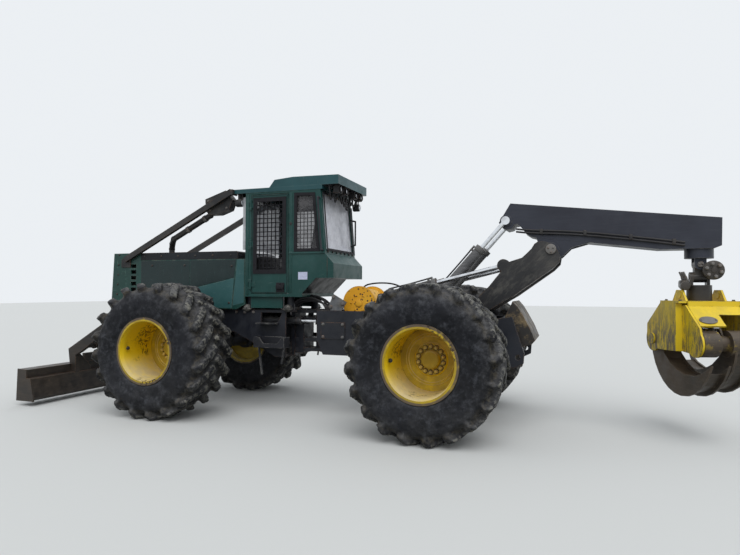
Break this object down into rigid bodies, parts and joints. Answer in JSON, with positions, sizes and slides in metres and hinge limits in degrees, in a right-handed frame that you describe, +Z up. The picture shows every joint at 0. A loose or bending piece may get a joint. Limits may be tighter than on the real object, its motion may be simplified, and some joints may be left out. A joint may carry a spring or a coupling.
{
  "type": "grapple skidder",
  "caption": "Articulated four-wheel forestry skidder with cab, front blade, folding rear arch, boom and hanging log grapple.",
  "frame": {"origin": "on the ground under the middle of the machine's overall length and width", "axes": "+X to the front with the blade, +Y to the operator's left, +Z up"},
  "size_m": [9.4441, 3.169, 3.22],
  "materials": {
    "frame_black": "satin, dusty",
    "body_green": "gloss, faded",
    "hood_black": "satin",
    "rim_yellow": "chipped, rusty flanges",
    "grapple_yellow": "worn",
    "winch_yellow": "dusty",
    "rod_chrome": "polished",
    "barrel_grey": "weathered",
    "worn_steel": "bare, rusty",
    "tyre": "muddy",
    "window": "clouded",
    "engine_iron": "painted",
    "seat_vinyl": "worn",
    "lamp": "clear lens, black shell"
  },
  "bodies": {
    "front_half": {"front_frame": "frame_black", "front_axle": "frame_black", "engine": "engine_iron", "hood": "body_green", "hood_top": "hood_black", "exhaust": "worn_steel", "limb_risers": "frame_black", "cab": "body_green", "cab_roof": "body_green", "cab_glass": "window", "cab_screens": "window", "operator_seat": "seat_vinyl", "steps": "frame_black", "lamps": "lamp", "handrails": "frame_black"},
    "door_left": {"door_left": "body_green"},
    "door_right": {"door_right": "body_green"},
    "blade": {"blade": "worn_steel"},
    "blade_barrels": {"blade_barrels": "frame_black"},
    "blade_rods": {"blade_rods": "rod_chrome"},
    "steer_barrel_left": {"steer_barrel_left": "frame_black"},
    "steer_barrel_right": {"steer_barrel_right": "frame_black"},
    "steer_rod_left": {"steer_rod_left": "rod_chrome"},
    "steer_rod_right": {"steer_rod_right": "rod_chrome"},
    "rear_half": {"rear_frame": "frame_black", "rear_axle": "frame_black", "winch": "winch_yellow", "butt_plate": "worn_steel"},
    "arch": {"arch": "frame_black"},
    "arch_barrels": {"arch_barrels": "frame_black"},
    "arch_rods": {"arch_rods": "rod_chrome"},
    "boom": {"boom": "frame_black"},
    "boom_barrels": {"boom_barrels": "barrel_grey"},
    "boom_rods": {"boom_rods": "rod_chrome"},
    "swing_link": {"swing_link": "frame_black"},
    "rotator": {"rotator": "frame_black"},
    "grapple_head": {"grapple_head": "grapple_yellow"},
    "tong_a": {"tong_a": "worn_steel"},
    "tong_b": {"tong_b": "worn_steel"},
    "tong_barrel": {"tong_barrel": "frame_black"},
    "tong_rod": {"tong_rod": "rod_chrome"},
    "wheel_front_left": {"tyre_front_left": "tyre", "rim_front_left": "rim_yellow"},
    "wheel_front_right": {"tyre_front_right": "tyre", "rim_front_right": "rim_yellow"},
    "wheel_rear_left": {"tyre_rear_left": "tyre", "rim_rear_left": "rim_yellow"},
    "wheel_rear_right": {"tyre_rear_right": "tyre", "rim_rear_right": "rim_yellow"}
  },
  "joints": [
    {"name": "articulation", "type": "hinge", "parent": "front_half", "child": "rear_half", "pos_m": [0.55, 0, 1.105], "axis": [0, 0, 1], "range_deg": [-42, 42]},
    {"name": "steer_barrel_left_pin", "type": "hinge", "parent": "front_half", "child": "steer_barrel_left", "pos_m": [1.56, 0.3, 1.255], "axis": [0, 0, 1], "range_deg": [-1.8, 1.8]},
    {"name": "steer_barrel_right_pin", "type": "hinge", "parent": "front_half", "child": "steer_barrel_right", "pos_m": [1.56, -0.3, 1.255], "axis": [0, 0, 1], "range_deg": [-1.8, 1.8]},
    {"name": "steer_rod_left_slide", "type": "slide", "parent": "steer_barrel_left", "child": "steer_rod_left", "axis": [-0.9994, -0.0357, 0], "range_m": [-0.182, 0.182]},
    {"name": "steer_rod_right_slide", "type": "slide", "parent": "steer_barrel_right", "child": "steer_rod_right", "axis": [-0.9994, 0.0357, 0], "range_m": [-0.182, 0.182]},
    {"name": "door_left_hinge", "type": "hinge", "parent": "front_half", "child": "door_left", "pos_m": [1.411, 0.554, 2.315], "axis": [0, 0, -1], "range_deg": [0, 95]},
    {"name": "door_right_hinge", "type": "hinge", "parent": "front_half", "child": "door_right", "pos_m": [1.411, -0.554, 2.315], "axis": [0, 0, 1], "range_deg": [0, 95]},
    {"name": "blade_lift", "type": "hinge", "parent": "front_half", "child": "blade", "pos_m": [3.63, 0, 1.055], "axis": [0, -1, 0], "range_deg": [-6, 34]},
    {"name": "blade_barrels_pin", "type": "hinge", "parent": "front_half", "child": "blade_barrels", "pos_m": [3.64, 0, 1.185], "axis": [0, -1, 0], "range_deg": [-6, 34]},
    {"name": "blade_rods_slide", "type": "slide", "parent": "blade_barrels", "child": "blade_rods", "axis": [0.9102, 0, -0.4143], "range_m": [-0.078, 0.015]},
    {"name": "arch_fold", "type": "hinge", "parent": "rear_half", "child": "arch", "pos_m": [-1.25, 0, 1.255], "axis": [0, 1, 0], "range_deg": [0, 48]},
    {"name": "arch_barrels_pin", "type": "hinge", "parent": "rear_half", "child": "arch_barrels", "pos_m": [-0.45, 0, 1.593], "axis": [0, 1, 0], "range_deg": [0, 29]},
    {"name": "arch_rods_slide", "type": "slide", "parent": "arch_barrels", "child": "arch_rods", "axis": [-0.9695, 0, 0.2452], "range_m": [-0.545, 0]},
    {"name": "boom_lift", "type": "hinge", "parent": "arch", "child": "boom", "pos_m": [-2.57, 0, 2.175], "axis": [0, -1, 0], "range_deg": [-25, 14]},
    {"name": "boom_barrels_pin", "type": "hinge", "parent": "arch", "child": "boom_barrels", "pos_m": [-1.01, 0, 1.418], "axis": [0, -1, 0], "range_deg": [-1.5, 2.6]},
    {"name": "boom_rods_slide", "type": "slide", "parent": "boom_barrels", "child": "boom_rods", "axis": [-0.666, 0, 0.746], "range_m": [-0.277, 0.156]},
    {"name": "grapple_swing", "type": "hinge", "parent": "boom", "child": "swing_link", "pos_m": [-4.18, 0, 1.99], "axis": [0, -1, 0], "range_deg": [-30, 45]},
    {"name": "grapple_tilt", "type": "hinge", "parent": "swing_link", "child": "rotator", "pos_m": [-4.18, 0, 1.845], "axis": [1, 0, 0], "range_deg": [-20, 20]},
    {"name": "grapple_rotate", "type": "hinge", "parent": "rotator", "child": "grapple_head", "pos_m": [-4.18, 0, 1.575], "axis": [0, 0, 1], "continuous": true},
    {"name": "tong_open", "type": "hinge", "parent": "grapple_head", "child": "tong_a", "pos_m": [-4.05003, -0.35708, 1.115], "axis": [-0.9397, -0.342, 0], "range_deg": [0, 52]},
    {"name": "tong_b_open", "type": "hinge", "parent": "grapple_head", "child": "tong_b", "pos_m": [-4.30997, 0.35708, 1.115], "axis": [0.9397, 0.342, 0], "range_deg": [0, 52]},
    {"name": "tong_barrel_pin", "type": "hinge", "parent": "tong_a", "child": "tong_barrel", "pos_m": [-4.08423, -0.26311, 1.287], "axis": [-0.9397, -0.342, 0], "range_deg": [-52, 0]},
    {"name": "tong_rod_slide", "type": "slide", "parent": "tong_barrel", "child": "tong_rod", "axis": [-0.342, 0.9397, 0], "range_m": [-0.2015, 0]},
    {"name": "wheel_front_left_spin", "type": "hinge", "parent": "front_half", "child": "wheel_front_left", "pos_m": [2.365, 1.19, 0.885], "axis": [0, 1, 0], "continuous": true},
    {"name": "wheel_front_right_spin", "type": "hinge", "parent": "front_half", "child": "wheel_front_right", "pos_m": [2.365, -1.19, 0.885], "axis": [0, 1, 0], "continuous": true},
    {"name": "wheel_rear_left_spin", "type": "hinge", "parent": "rear_half", "child": "wheel_rear_left", "pos_m": [-1.265, 1.19, 0.885], "axis": [0, 1, 0], "continuous": true},
    {"name": "wheel_rear_right_spin", "type": "hinge", "parent": "rear_half", "child": "wheel_rear_right", "pos_m": [-1.265, -1.19, 0.885], "axis": [0, 1, 0], "continuous": true}
  ],
  "couplings": [
    {"joint": "steer_barrel_left_pin", "follows": "articulation", "ratio": 0.0402},
    {"joint": "steer_barrel_right_pin", "follows": "articulation", "ratio": 0.0402},
    {"joint": "steer_rod_left_slide", "follows": "articulation", "m_per_rad": 0.24746},
    {"joint": "steer_rod_right_slide", "follows": "articulation", "m_per_rad": -0.24746},
    {"joint": "blade_barrels_pin", "follows": "blade_lift", "ratio": 0.9814},
    {"joint": "blade_rods_slide", "follows": "blade_lift", "m_per_rad": -0.12767},
    {"joint": "arch_barrels_pin", "follows": "arch_fold", "ratio": 0.5974},
    {"joint": "arch_rods_slide", "follows": "arch_fold", "m_per_rad": -0.64748},
    {"joint": "boom_barrels_pin", "follows": "boom_lift", "ratio": -0.0991},
    {"joint": "boom_rods_slide", "follows": "boom_lift", "m_per_rad": 0.63163},
    {"joint": "tong_b_open", "follows": "tong_open", "ratio": 1},
    {"joint": "tong_barrel_pin", "follows": "tong_open", "ratio": -1},
    {"joint": "tong_rod_slide", "follows": "tong_open", "m_per_rad": -0.22}
  ]
}
